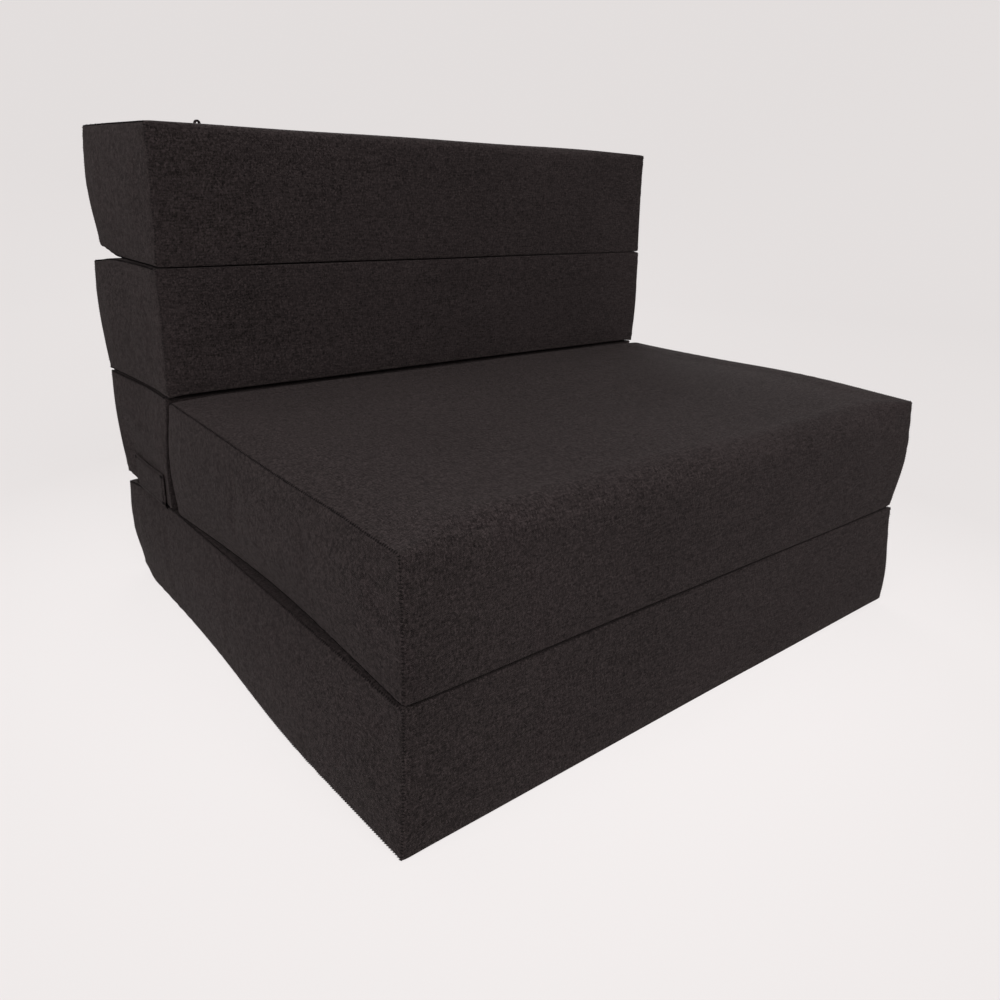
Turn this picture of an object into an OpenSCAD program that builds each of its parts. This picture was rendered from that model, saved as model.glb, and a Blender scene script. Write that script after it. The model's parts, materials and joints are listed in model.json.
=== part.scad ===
// Folding foam mattress, folded up into a low chair.
// Five covered foam blocks: a base, a seat on its front part, and three backrest blocks
// stacked on its rear part. X runs along the width, Y from front to rear, Z up, with the
// origin on the floor under the middle of the base.

/* [Blocks] */
// Width of the mattress, end to end
width = 813; // [600:1:1100]
// Height of one covered block
block_height = 150; // [110:1:200]
// Depth of the seat block, front to rear
seat_depth = 507; // [400:1:650]
// Depth of each backrest block, front to rear
back_depth = 202.5; // [170:0.5:260]
// Clearance between covers that face each other
fold_gap = 1.5; // [1:0.1:3]

/* [Cover] */
// Thickness of the cover cloth
cloth = 1.5; // [1:0.1:2.5]
// Radius of the long edges of each block
edge_radius = 10; // [6:1:20]
// Radius of the seat's top front edge
seat_front_radius = 32; // [12:1:60]
// Clearance between a foam core and the cover around it
foam_clearance = 0.3; // [0.1:0.1:1]

/* [Fold tapes] */
// Width of the tape sewn across each fold
fold_tape_width = 25; // [18:1:40]
// Thickness of the fold tape
fold_tape_thickness = 0.6; // [0.3:0.1:0.7]
// Distance from each end of the fold tape to the end of the block
fold_tape_margin = 10; // [2:1:30]

/* [Side tabs] */
// Length of a side tab, front to rear
tab_length = 110; // [60:1:120]
// Height of a side tab
tab_height = 44; // [30:1:80]
// Distance from the lower back block's front to the tab
tab_front_margin = 45; // [10:1:50]
// Thickness of the tab's folded cloth
tab_thickness = 1.5; // [1:0.1:3]
// Thickness of the hook patch on the block
hook_thickness = 1.2; // [0.8:0.1:2]
// Thickness of the loop patch on the tab
pile_thickness = 1.2; // [0.8:0.1:2]
// Border of plain cloth around a patch
patch_border = 5; // [2:1:8]
// Height of the hem that the tab is sewn to
tab_hem_height = 6; // [4:1:12]

/* [Zips] */
// Distance from each end of a rear opening to the end of the block
zip_margin = 93; // [40:1:150]
// Distance from each end of the seat's opening to the end of its side
seat_zip_margin = 50; // [40:1:100]
// Height of the opening in the cover
zip_opening = 14; // [13:1:20]
// Clearance between a pull that lies down and the face of the cover
zip_cover = 0.5; // [0.4:0.1:3]
// Width of the sewn border of the tape round the opening
zip_hem = 7; // [4:1:10]
// Thickness of the zip tape
zip_tape_thickness = 0.8; // [0.5:0.1:1.2]
// Thickness of the folded lips that join the tape to the cover
zip_lip = 1.2; // [0.8:0.1:2]
// Width of the closed teeth
teeth_width = 5; // [4:0.1:6]
// Height of the closed teeth over the tape
teeth_height = 1.2; // [0.8:0.1:1.4]
// Length of an end stop
stop_length = 5; // [3:1:8]

/* [Sliders and pulls] */
// Length of a slider
slider_length = 14; // [12:1:18]
// Width of a slider
slider_width = 9; // [8.5:0.5:11]
// Height of a slider's body over the tape
slider_height = 2.6; // [2.2:0.1:3]
// Radius of the slider's bar
bar_radius = 0.6; // [0.5:0.05:0.8]
// Clearance between the bar and the pull's eye, and under the eye
pull_clearance = 0.3; // [0.2:0.05:0.5]
// Wall of the pull's eye
eye_wall = 0.7; // [0.5:0.1:1]
// Width of a pull
pull_width = 5; // [4:0.5:6]
// Thickness of a pull
pull_thickness = 1; // [0.8:0.1:1.4]
// Length of a pull from its bar to its tip
pull_length = 30; // [20:1:40]

/* [Top loop] */
// Distance from the left end to the middle of the cloth loop on the upper block
loop_margin = 136; // [30:1:300]
// Distance from the loop to the rounding of the top rear edge
loop_setback = 2; // [0.5:0.5:60]
// Width of the loop over its two legs
loop_width = 9; // [6:0.5:20]
// Height of the loop over the block
loop_height = 16; // [10:0.5:24]
// Thickness of the loop's tape
loop_thickness = 1.2; // [0.6:0.1:2]
// Width of the loop's tape
loop_tape_width = 6; // [4:0.5:15]

/* [Hidden] */
$fn = 48;
// Clearance between moving pieces that don't bear on each other
running = 0.3;
// Overrun that carries a cut past the face it cuts
overrun = 1;
// Clearance between a fold's bead and the faces beside it
bead_clearance = 0.05;

// The blocks stack and fold on a grid one cover clearance apart
pitch = block_height + fold_gap;
base_depth = seat_depth + fold_gap + back_depth;
front_y = -base_depth / 2;
rear_y = base_depth / 2;
back_y = rear_y - back_depth;

// A block is its front Y, depth, level in the stack and top front radius
BASE = [front_y, base_depth, 0, edge_radius];
SEAT = [front_y, seat_depth, 1, seat_front_radius];
LOWER = [back_y, back_depth, 1, edge_radius];
MIDDLE = [back_y, back_depth, 2, edge_radius];
UPPER = [back_y, back_depth, 3, edge_radius];

// Fold lines, as Y and Z: each lies midway between the covers that it joins
SEAT_FOLD = [front_y - fold_gap / 2, pitch - fold_gap / 2];
BACK_FOLD = [back_y - fold_gap / 2, 2 * pitch - fold_gap / 2];
MIDDLE_FOLD = [rear_y + fold_gap / 2, 2 * pitch - fold_gap / 2];
UPPER_FOLD = [back_y - fold_gap / 2, 3 * pitch - fold_gap / 2];
bead_radius = fold_gap / 2 - bead_clearance;

// A side tab stands off the end panel by both patches and their clearance
tab_standoff = hook_thickness + running + pile_thickness;
tab_y = back_y + tab_front_margin;
tab_fold_z = block_height;

// Places on a zip, measured along it and up from its tape
rear_opening = width - 2 * zip_margin;
seat_opening = seat_depth - 2 * seat_zip_margin;
eye_radius = bar_radius + pull_clearance + eye_wall;
bar_height = slider_height + pull_clearance + eye_radius;
zip_sink = bar_height + eye_radius + zip_cover;
lug_thickness = 1;
lug_inner = pull_width / 2 + running;

function block_bottom(block) = block[2] * pitch;
function block_top(block) = block_bottom(block) + block_height;
function block_rear(block) = block[0] + block[1];
function block_middle(block) = block_bottom(block) + block_height / 2;

// ---------------------------------------------------------------- blocks

// What a rounded corner at the origin takes off a square that lies towards +X and +Y
module corner_waste(radius) {
    difference() {
        translate([-overrun, -overrun])
            square(radius + overrun);
        translate([radius, radius])
            circle(radius);
    }
}

// A block's section, with its front at the left
module block_outline(depth, height, radius, top_front_radius) {
    difference() {
        square([depth, height]);
        corner_waste(radius);
        translate([depth, 0])
            mirror([1, 0])
                corner_waste(radius);
        translate([depth, height])
            rotate(180)
                corner_waste(radius);
        translate([0, height])
            mirror([0, 1])
                corner_waste(top_front_radius);
    }
}

// A length of block about the middle of the width, inset from its faces
module block_solid(block, inset, length) {
    translate([-length / 2, block[0] + inset, block_bottom(block) + inset])
        rotate([90, 0, 90])
            linear_extrude(length)
                block_outline(
                    block[1] - 2 * inset, block_height - 2 * inset,
                    edge_radius - inset, block[3] - inset
                );
}

module foam_core(block) {
    inset = cloth + foam_clearance;
    color("#d9cfa8")
        difference() {
            block_solid(block, inset, width - 2 * inset);
            zip_pocket(block);
        }
}

module wrap(block) {
    color("#2d2a2a")
        difference() {
            block_solid(block, 0, width - 2 * cloth);
            block_solid(block, cloth, width);
            if (block != SEAT)
                zip_slot(block);
        }
}

// side is -1 for the left end and 1 for the right end
module end_panel(block, side) {
    color("#353131")
        difference() {
            translate([side * (width - cloth) / 2, 0, 0])
                block_solid(block, 0, cloth);
            if (block == SEAT && side == 1)
                zip_slot(block);
        }
}

// The base's end panels carry the hem that a side tab is sewn to
module base_end_panel(side) {
    hem_top = tab_fold_z - tab_thickness / 2 - running;
    hem_depth = tab_standoff - running;
    end_panel(BASE, side);
    color("#353131")
        beside(side, 0, hem_depth)
            translate([0, tab_y, hem_top - tab_hem_height])
                cube([hem_depth, tab_length, tab_hem_height]);
}

// A loop of tape that stands on the top of the upper block, near its rear edge
module top_loop() {
    radius = loop_width / 2;
    color("#2a2727")
        translate([
            -width / 2 + loop_margin, rear_y - edge_radius - loop_setback, block_top(UPPER)
        ])
            rotate([90, 0, 0])
                linear_extrude(loop_tape_width)
                    difference() {
                        arch(radius, loop_height);
                        arch(radius - loop_thickness, loop_height - loop_thickness);
                    }
}

// A round-headed arch that stands on the origin
module arch(radius, height) {
    translate([0, height - radius])
        circle(radius);
    translate([-radius, 0])
        square([2 * radius, height - radius]);
}

// ---------------------------------------------------------------- folds

// A tape with its sewn bead on the fold line. It lies on the side of the clearance that
// faces -Y in the drawing, and runs towards +X.
module fold_tape_outline() {
    circle(bead_radius);
    translate([0, -fold_gap / 2])
        square([fold_tape_width, fold_tape_thickness]);
}

// A fold tape on a fold line, turned or mirrored to lie on its own block
module fold_tape(line, turn, flip) {
    length = width - 2 * fold_tape_margin;
    color("#242121")
        translate([-length / 2, line[0], line[1]])
            rotate([90, 0, 90])
                linear_extrude(length)
                    rotate(turn)
                        mirror([flip, 0])
                            fold_tape_outline();
}

// ---------------------------------------------------------------- side tabs

// Puts a slab of the given thickness outside an end, so far out from the end panel
module beside(side, out, thickness) {
    translate([side > 0 ? width / 2 + out : -width / 2 - out - thickness, 0, 0])
        children();
}

module side_tab(side) {
    color("#2a2727")
        beside(side, tab_standoff, tab_thickness)
            translate([0, tab_y, tab_fold_z]) {
                cube([tab_thickness, tab_length, tab_height]);
                translate([tab_thickness / 2, 0, 0])
                    rotate([-90, 0, 0])
                        cylinder(h = tab_length, r = tab_thickness / 2);
            }
}

// A patch that fills the tab inside its border
module patch(side, out, thickness) {
    color("#191717")
        beside(side, out, thickness)
            translate([0, tab_y + patch_border, tab_fold_z + patch_border + fold_gap])
                cube([
                    thickness, tab_length - 2 * patch_border,
                    tab_height - 2 * patch_border - fold_gap
                ]);
}

// ---------------------------------------------------------------- zips

// The seat's zip is in its right end, and the others are in the rear of their blocks
function opening_length(block) = block == SEAT ? seat_opening : rear_opening;

// Half the length of the teeth: past them, the opening has room for the pull to lie down
function half_teeth(block) = opening_length(block) / 2 - pull_length - overrun;

// The closed slider waits at the stop
function slider_place(block) =
    half_teeth(block) - stop_length - running - slider_length / 2;

// Local axes of a zip: X along it, Y up, Z out of the cover, with Z = 0 on its tape
module at_zip(block) {
    inward = cloth_face(block) - zip_sink;
    if (block == SEAT)
        translate([inward, block[0] + block[1] / 2, block_middle(block)])
            rotate([90, 0, 90])
                children();
    else
        translate([0, inward, block_middle(block)])
            rotate([90, 0, 180])
                children();
}
function cloth_face(block) = block == SEAT ? width / 2 : block_rear(block);

// The opening in the cover
module zip_slot(block) {
    length = opening_length(block);
    at_zip(block)
        translate([-length / 2, -zip_opening / 2, 0])
            cube([length, zip_opening, zip_sink + overrun]);
}

// The room that the zip takes in the foam
module zip_pocket(block) {
    border = zip_hem + foam_clearance;
    length = opening_length(block) + 2 * border;
    floor_depth = zip_tape_thickness + foam_clearance;
    at_zip(block)
        translate([-length / 2, -zip_opening / 2 - border, -floor_depth])
            cube([
                length, zip_opening + 2 * border, floor_depth + zip_sink + overrun
            ]);
}

// The tape and the folded lips that join it to the cover round the opening
module zip_tape(block) {
    length = opening_length(block);
    lip_height = zip_sink - cloth;
    color("#211e1e")
        at_zip(block) {
            translate([
                -length / 2 - zip_hem, -zip_opening / 2 - zip_hem, -zip_tape_thickness
            ])
                cube([length + 2 * zip_hem, zip_opening + 2 * zip_hem, zip_tape_thickness]);
            difference() {
                translate([-length / 2 - zip_lip, -zip_opening / 2 - zip_lip, 0])
                    cube([length + 2 * zip_lip, zip_opening + 2 * zip_lip, lip_height]);
                translate([-length / 2, -zip_opening / 2, 0])
                    cube([length, zip_opening, lip_height]);
            }
        }
}

module zip_teeth(block) {
    length = 2 * half_teeth(block);
    color("#4a4748")
        at_zip(block) {
            translate([-length / 2, -teeth_width / 2, 0])
                cube([length, teeth_width, teeth_height]);
            for (end = [-1, 1])
                translate([end * (length - stop_length) / 2, 0, slider_height / 2])
                    cube([stop_length, teeth_width + overrun, slider_height], center = true);
        }
}

// A slider with two lugs and the bar between them, which lies across the zip
module zip_slider(block) {
    channel_width = teeth_width + 2 * running;
    channel_height = teeth_height + running;
    lug_rise = bar_height + bar_radius - slider_height;
    color("#3c3b3d")
        at_zip(block)
            translate([slider_place(block), 0, 0]) {
                difference() {
                    translate([-slider_length / 2, -slider_width / 2, running])
                        cube([slider_length, slider_width, slider_height - running]);
                    translate([-slider_length / 2 - overrun, -channel_width / 2, 0])
                        cube([slider_length + 2 * overrun, channel_width, channel_height]);
                }
                for (side = [-1, 1])
                    translate([
                        0, side * (lug_inner + lug_thickness / 2), slider_height + lug_rise / 2
                    ])
                        cube([2 * eye_radius, lug_thickness, lug_rise], center = true);
                translate([0, 0, bar_height])
                    rotate([90, 0, 0])
                        cylinder(
                            h = 2 * lug_inner + lug_thickness, r = bar_radius, center = true
                        );
            }
}

// A pull that lies along the zip, over the teeth
module zip_pull(block) {
    color("#444345")
        at_zip(block)
            translate([slider_place(block), 0, bar_height])
                pull_plate();
}

// Flat plate with an eye round the bar at the origin, and a rounded tip towards -X
module pull_plate() {
    reach = pull_length - pull_width / 2;
    difference() {
        union() {
            rotate([90, 0, 0])
                cylinder(h = pull_width, r = eye_radius, center = true);
            translate([-reach, -pull_width / 2, -pull_thickness / 2])
                cube([reach, pull_width, pull_thickness]);
            translate([-reach, 0, 0])
                cylinder(h = pull_thickness, r = pull_width / 2, center = true);
        }
        rotate([90, 0, 0])
            cylinder(
                h = pull_width + overrun, r = bar_radius + pull_clearance, center = true
            );
    }
}

// ---------------------------------------------------------------- nodes

foam_core(BASE);  // base_foam
wrap(BASE);  // base_wrap
base_end_panel(-1);  // base_left_end
base_end_panel(1);  // base_right_end
foam_core(SEAT);  // seat_foam
wrap(SEAT);  // seat_wrap
end_panel(SEAT, -1);  // seat_left_end
end_panel(SEAT, 1);  // seat_right_end
foam_core(LOWER);  // lower_foam
wrap(LOWER);  // lower_wrap
end_panel(LOWER, -1);  // lower_left_end
end_panel(LOWER, 1);  // lower_right_end
foam_core(MIDDLE);  // middle_foam
wrap(MIDDLE);  // middle_wrap
end_panel(MIDDLE, -1);  // middle_left_end
end_panel(MIDDLE, 1);  // middle_right_end
foam_core(UPPER);  // upper_foam
wrap(UPPER);  // upper_wrap
end_panel(UPPER, -1);  // upper_left_end
end_panel(UPPER, 1);  // upper_right_end
top_loop();  // upper_loop

fold_tape(SEAT_FOLD, 0, 0);  // seat_fold_tape
fold_tape(BACK_FOLD, -90, 0);  // back_fold_tape
fold_tape(MIDDLE_FOLD, 0, 1);  // middle_fold_tape
fold_tape(UPPER_FOLD, 0, 0);  // upper_fold_tape

side_tab(-1);  // left_tab
patch(-1, hook_thickness + running, pile_thickness);  // left_loop_patch
patch(-1, 0, hook_thickness);  // left_hook_patch
side_tab(1);  // right_tab
patch(1, hook_thickness + running, pile_thickness);  // right_loop_patch
patch(1, 0, hook_thickness);  // right_hook_patch

zip_tape(BASE);  // base_zip_tape
zip_teeth(BASE);  // base_zip_teeth
zip_slider(BASE);  // base_zip_slider
zip_pull(BASE);  // base_zip_pull
zip_tape(SEAT);  // seat_zip_tape
zip_teeth(SEAT);  // seat_zip_teeth
zip_slider(SEAT);  // seat_zip_slider
zip_pull(SEAT);  // seat_zip_pull
zip_tape(LOWER);  // lower_zip_tape
zip_teeth(LOWER);  // lower_zip_teeth
zip_slider(LOWER);  // lower_zip_slider
zip_pull(LOWER);  // lower_zip_pull
zip_tape(MIDDLE);  // middle_zip_tape
zip_teeth(MIDDLE);  // middle_zip_teeth
zip_slider(MIDDLE);  // middle_zip_slider
zip_pull(MIDDLE);  // middle_zip_pull
zip_tape(UPPER);  // upper_zip_tape
zip_teeth(UPPER);  // upper_zip_teeth
zip_slider(UPPER);  // upper_zip_slider
zip_pull(UPPER);  // upper_zip_pull
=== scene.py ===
"""Looks of a folding foam mattress that is folded up into a chair.

Five covered blocks, their seams and stitches, the webs that join them, the side tabs, the
top loop and the zips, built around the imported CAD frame. Everything is in metres, in the
row frame: X along the width, Y from front to rear, Z up.
"""

import math

import bpy
import numpy as np
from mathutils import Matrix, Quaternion, Vector
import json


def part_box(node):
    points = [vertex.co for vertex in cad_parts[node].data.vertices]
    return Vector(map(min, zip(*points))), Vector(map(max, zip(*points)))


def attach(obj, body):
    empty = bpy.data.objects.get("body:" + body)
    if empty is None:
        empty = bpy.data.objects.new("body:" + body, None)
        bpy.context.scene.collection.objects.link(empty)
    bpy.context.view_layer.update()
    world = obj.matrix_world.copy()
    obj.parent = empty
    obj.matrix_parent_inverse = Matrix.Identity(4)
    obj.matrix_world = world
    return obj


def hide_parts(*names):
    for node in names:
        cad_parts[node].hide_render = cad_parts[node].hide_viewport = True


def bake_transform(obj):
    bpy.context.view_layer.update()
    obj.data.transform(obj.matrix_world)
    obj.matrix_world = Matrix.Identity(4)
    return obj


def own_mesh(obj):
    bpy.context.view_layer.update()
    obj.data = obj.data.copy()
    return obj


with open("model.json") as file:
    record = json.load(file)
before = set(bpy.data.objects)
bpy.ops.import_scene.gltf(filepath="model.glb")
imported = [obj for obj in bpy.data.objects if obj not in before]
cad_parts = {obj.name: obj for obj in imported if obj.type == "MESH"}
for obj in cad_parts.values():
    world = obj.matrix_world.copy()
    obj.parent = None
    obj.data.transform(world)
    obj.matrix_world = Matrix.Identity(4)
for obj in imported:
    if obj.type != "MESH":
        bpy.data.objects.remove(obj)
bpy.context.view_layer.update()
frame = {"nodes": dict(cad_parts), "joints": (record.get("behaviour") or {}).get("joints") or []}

# ---- camera

CAMERA_PLACE = Vector((-0.7195, -0.8435, 0.5591))
CAMERA_AIM = Vector((0.0608, 0.0864, 0.0938))
CAMERA_ROLL = math.radians(2.12)
CAMERA_LENS = 29.97


def add_camera():
    camera = bpy.data.objects.new("camera", bpy.data.cameras.new("camera"))
    camera.data.lens = CAMERA_LENS
    camera.data.sensor_width = 36.0
    camera.location = CAMERA_PLACE
    turn = (CAMERA_AIM - CAMERA_PLACE).to_track_quat("-Z", "Y")
    camera.rotation_mode = "QUATERNION"
    camera.rotation_quaternion = turn @ Quaternion((0, 0, 1), CAMERA_ROLL)
    bpy.context.scene.collection.objects.link(camera)
    bpy.context.scene.camera = camera


# ---- materials


class Nodes:
    """A material's node tree, with short calls to add and join nodes."""

    def __init__(self, name):
        self.material = bpy.data.materials.new(name)
        self.material.use_nodes = True
        self.tree = self.material.node_tree
        self.tree.nodes.clear()

    def add(self, kind, inputs=None, **settings):
        node = self.tree.nodes.new(kind)
        for key, value in settings.items():
            setattr(node, key, value)
        for key, value in (inputs or {}).items():
            if isinstance(value, bpy.types.NodeSocket):
                self.tree.links.new(value, node.inputs[key])
            else:
                node.inputs[key].default_value = value
        return node

    def math(self, operation, a, b=0.0):
        return self.add("ShaderNodeMath", {0: a, 1: b}, operation=operation).outputs[0]

    def total(self, *parts):
        """The sum of some values, each times its weight."""
        whole = None
        for value, weight in parts:
            part = self.math("MULTIPLY", value, weight)
            whole = part if whole is None else self.math("ADD", whole, part)
        return whole

    def vector(self, operation, a, b=(0.0, 0.0, 0.0)):
        return self.add("ShaderNodeVectorMath", {0: a, 1: b}, operation=operation).outputs[0]

    def noise(self, where, scale, detail=2.0, roughness=0.5):
        inputs = {"Vector": where, "Scale": scale, "Detail": detail, "Roughness": roughness}
        return self.add("ShaderNodeTexNoise", inputs).outputs["Fac"]

    def stretch(self, value, low, high, new_low=0.0, new_high=1.0):
        inputs = {"Value": value, "From Min": low, "From Max": high}
        inputs["To Min"] = new_low
        inputs["To Max"] = new_high
        return self.add("ShaderNodeMapRange", inputs).outputs["Result"]

    def mix(self, factor, a, b):
        inputs = {0: factor, 6: a, 7: b}
        return self.add("ShaderNodeMix", inputs, data_type="RGBA").outputs[2]

    def surface(self, height, strength, relief, inputs):
        """A finished material: these inputs, and a bump from the height."""
        bump = {"Height": height, "Strength": strength, "Distance": relief}
        normal = self.add("ShaderNodeBump", bump).outputs[0]
        return self.finish(self.add("ShaderNodeBsdfPrincipled", {**inputs, "Normal": normal}))

    def finish(self, shader):
        self.add("ShaderNodeOutputMaterial", {"Surface": shader.outputs[0]})
        return self.material


# How much redder than grey the cloth is, its mirror-like share, and how far its flecks
# reach to each side of an even noise
WARMTH = 0.3
CLOTH_GLOSS = 0.06
FLECK_SPREAD = 0.11


def grey(value, warm=0.0):
    """A near grey, in linear light, with a little more red where it is warm."""
    return (value * (1 + warm), value, value, 1.0)


def woven(name, dark, light, thread, relief, sheen):
    """Plain woven cloth: threads one pitch apart that pass over and under each other, with
    slubs and flecks along both sets of threads. It reads the piece's own coordinates."""
    n = Nodes(name)
    where = n.add("ShaderNodeTexCoord")
    place = where.outputs["Object"]
    facing = n.vector("ABSOLUTE", where.outputs["Normal"])
    facing = n.vector("MULTIPLY", facing, facing)
    facing = n.vector("MULTIPLY", facing, facing)
    fx, fy, fz = n.add("ShaderNodeSeparateXYZ", {0: facing}).outputs
    whole = n.math("ADD", n.math("ADD", fx, fy), fz)
    scaled = n.vector("MULTIPLY", place, (math.pi / thread,) * 3)
    sx, sy, sz = (n.math("SINE", s) for s in n.add("ShaderNodeSeparateXYZ", {0: scaled}).outputs)
    ways = ((sy, sz, fx), (sx, sz, fy), (sx, sy, fz))
    crossed = [(n.math("MULTIPLY", a, b), face) for a, b, face in ways]
    over = n.math("DIVIDE", n.total(*crossed), whole)
    fine = 0.55 / thread
    long_x = n.noise(n.vector("MULTIPLY", place, (fine * 0.16, fine, fine)), 1.0, 2.0, 0.6)
    short_x = n.noise(n.vector("MULTIPLY", place, (fine, fine * 0.3, fine * 0.3)), 1.0, 2.0, 0.6)
    warp = n.stretch(over, -0.25, 0.25)
    fleck = n.total((long_x, warp), (short_x, n.math("SUBTRACT", 1.0, warp)))
    fleck = n.stretch(fleck, 0.5 - FLECK_SPREAD, 0.5 + FLECK_SPREAD)
    nep = n.stretch(n.noise(place, 0.45 / thread, 1.0), 0.56, 0.7)
    mottle = n.stretch(n.noise(place, 0.34 / thread, 2.0, 0.6), 0.38, 0.62)
    cloud = n.stretch(n.noise(place, 5.0, 3.0, 0.55), 0.3, 0.7)
    shade = n.total((fleck, 0.48), (mottle, 0.26), (cloud, 0.12), (over, 0.1), (nep, 0.7))
    colour = n.mix(shade, grey(dark, WARMTH), grey(light, WARMTH))
    height = n.total((over, 0.6), (fleck, 0.8))
    return n.surface(height, 1.0, relief, {
        "Base Color": colour,
        "Roughness": n.stretch(fleck, 0.0, 1.0, 0.95, 0.82),
        "Specular IOR Level": CLOTH_GLOSS,
        "Sheen Weight": sheen,
        "Sheen Roughness": 0.55,
        "Sheen Tint": (0.95, 0.8, 0.78, 1.0),
        "Specular Tint": (1.0, 0.86, 0.84, 1.0),
    })


def thread_material(name, shade):
    """Twisted sewing thread."""
    n = Nodes(name)
    place = n.add("ShaderNodeTexCoord").outputs["Object"]
    grain = n.noise(place, 2500.0, 1.0)
    colour = n.mix(grain, grey(shade * 0.7, WARMTH), grey(shade * 1.3, WARMTH))
    inputs = {"Base Color": colour, "Roughness": 0.85, "Specular IOR Level": CLOTH_GLOSS}
    return n.surface(grain, 0.5, 0.0001, inputs)


def smooth_material(name, shade, metallic, roughness, grain_scale, relief):
    """Lacquered metal or moulded plastic with a faint grain."""
    n = Nodes(name)
    place = n.add("ShaderNodeTexCoord").outputs["Object"]
    grain = n.noise(place, grain_scale, 3.0)
    wear = n.noise(place, grain_scale * 0.1, 2.0)
    colour = n.mix(n.stretch(wear, 0.35, 0.75), grey(shade * 0.85), grey(shade * 1.35))
    rough = n.stretch(grain, 0.3, 0.7, roughness * 0.85, roughness * 1.2)
    inputs = {"Base Color": colour, "Metallic": metallic, "Roughness": rough}
    return n.surface(grain, 0.4, relief, inputs)


COVER = woven("cover cloth", 0.0003, 0.0148, 0.0009, 0.00035, 0.014)
TAPE = woven("tape cloth", 0.001, 0.004, 0.0007, 0.0002, 0.01)
TAB = woven("tab cloth", 0.0003, 0.0135, 0.0009, 0.0003, 0.014)
PILE = woven("hook and loop pile", 0.002, 0.007, 0.0016, 0.0007, 0.1)
THREAD = thread_material("seam thread", 0.0012)
METAL = smooth_material("zip metal", 0.05, 0.85, 0.34, 900.0, 0.00005)
TEETH = smooth_material("zip teeth", 0.045, 0.0, 0.4, 1500.0, 0.00005)

# ---- mesh helpers


def new_piece(name, points, faces, material, smooth=True):
    mesh = bpy.data.meshes.new(name)
    mesh.from_pydata([tuple(p) for p in points], [], [tuple(f) for f in faces])
    mesh.polygons.foreach_set("use_smooth", [smooth] * len(mesh.polygons))
    mesh.materials.append(material)
    mesh.update()
    piece = bpy.data.objects.new(name, mesh)
    bpy.context.scene.collection.objects.link(piece)
    return piece


def get_points(mesh):
    flat = np.empty(len(mesh.vertices) * 3, np.float32)
    mesh.vertices.foreach_get("co", flat)
    return flat.reshape(-1, 3).astype(float)


def set_points(mesh, points):
    mesh.vertices.foreach_set("co", np.asarray(points, np.float32).ravel())
    mesh.update()


def soften(piece):
    """Rounds the piece with one level of subdivision."""
    smooth = piece.modifiers.new("smooth", "SUBSURF")
    smooth.levels = 1
    smooth.render_levels = 1


def prism_faces(sides, rings):
    """The faces of a closed bar whose points run ring by ring."""
    faces = [tuple(range(sides))[::-1]]
    for i in range(rings - 1):
        for k in range(sides):
            m = (k + 1) % sides
            faces.append((i * sides + k, i * sides + m, (i + 1) * sides + m, (i + 1) * sides + k))
    faces.append(tuple((rings - 1) * sides + k for k in range(sides)))
    return faces


def reach_of(line):
    """How far along the line each of its points is."""
    return np.concatenate([[0], np.cumsum(np.linalg.norm(np.diff(line, axis=0), axis=1))])


def places_on(line, where):
    """The places at these distances along the line."""
    reach = reach_of(line)
    return np.column_stack([np.interp(where, reach, line[:, k]) for k in range(3)])


def ease(t):
    """1 at 0, falling smoothly to 0 at 1 and beyond."""
    t = np.clip(np.abs(t), 0, 1)
    return (1 - t) ** 2 * (1 + 2 * t)


# ---- blocks

BLOCKS = ("base", "seat", "lower", "middle", "upper")
BODY = dict(zip(BLOCKS, ("base", "seat", "back_lower", "back_middle", "back_upper")))
SEAM_DEPTH = 0.0012
# Distance from an end's face to each row of the wrap near the seam, and how far in it lies
SEAM_ROWS = (
    (0.0012, 0.0014),
    (0.0017, 0.0009),
    (0.0027, 0.0005),
    (0.0045, 0.0002),
    (0.008, 0.00005),
    (0.013, 0.0),
)
# Rows of points near a long edge, and the step between rows elsewhere
NEAR_EDGE = (0.002, 0.0045, 0.008, 0.013)
GRID = 0.009
ZIP_OPENING = 0.014
TAPE_THICKNESS = 0.0006
# Rows of points beside the zip, from its middle line
ZIP_ROWS = (0.0095, 0.0079, 0.0073, 0.007)
# How far from the end seam the long edges reach their full radius
RADIUS_REACH = 0.09
HALF_ARC = 4

# Radius of a block's long edges: bottom front, top front, top rear and bottom rear.
# An edge that is sewn to its neighbour is nearly sharp.
RADII = {
    "base": (0.003, 0.003, 0.006, 0.007),
    "seat": (0.003, 0.034, 0.009, 0.010),
    "lower": (0.008, 0.002, 0.003, 0.008),
    "middle": (0.002, 0.0018, 0.008, 0.003),
    "upper": (0.0018, 0.009, 0.008, 0.008),
}
# The same edges where they meet the end seams: the corners of the end panels
CORNER_RADII = {
    "base": (0.003, 0.003, 0.006, 0.007),
    "seat": (0.003, 0.004, 0.015, 0.007),
    "lower": (0.006, 0.0016, 0.003, 0.006),
    "middle": (0.0016, 0.0014, 0.006, 0.003),
    "upper": (0.0014, 0.005, 0.006, 0.006),
}
# How far each face stands proud in its middle: front, top, rear, bottom and ends.
# A face that rests on a neighbour stays flat.
CROWN = {
    "base": (0.0012, 0.0, 0.003, 0.0, 0.0045),
    "seat": (0.0012, 0.0045, 0.0, 0.0, 0.0045),
    "lower": (0.0, 0.0, 0.001, 0.0, 0.0025),
    "middle": (0.001, 0.0, 0.001, 0.0, 0.0035),
    "upper": (0.001, 0.004, 0.003, 0.0, 0.0035),
}


def block_box(name):
    """The block's half width, and its lowest and highest Y and Z, from the CAD."""
    low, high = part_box(f"{name}_wrap")
    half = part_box("seat_right_end")[1].x
    return half, low.y, high.y, low.z, high.z


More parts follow.
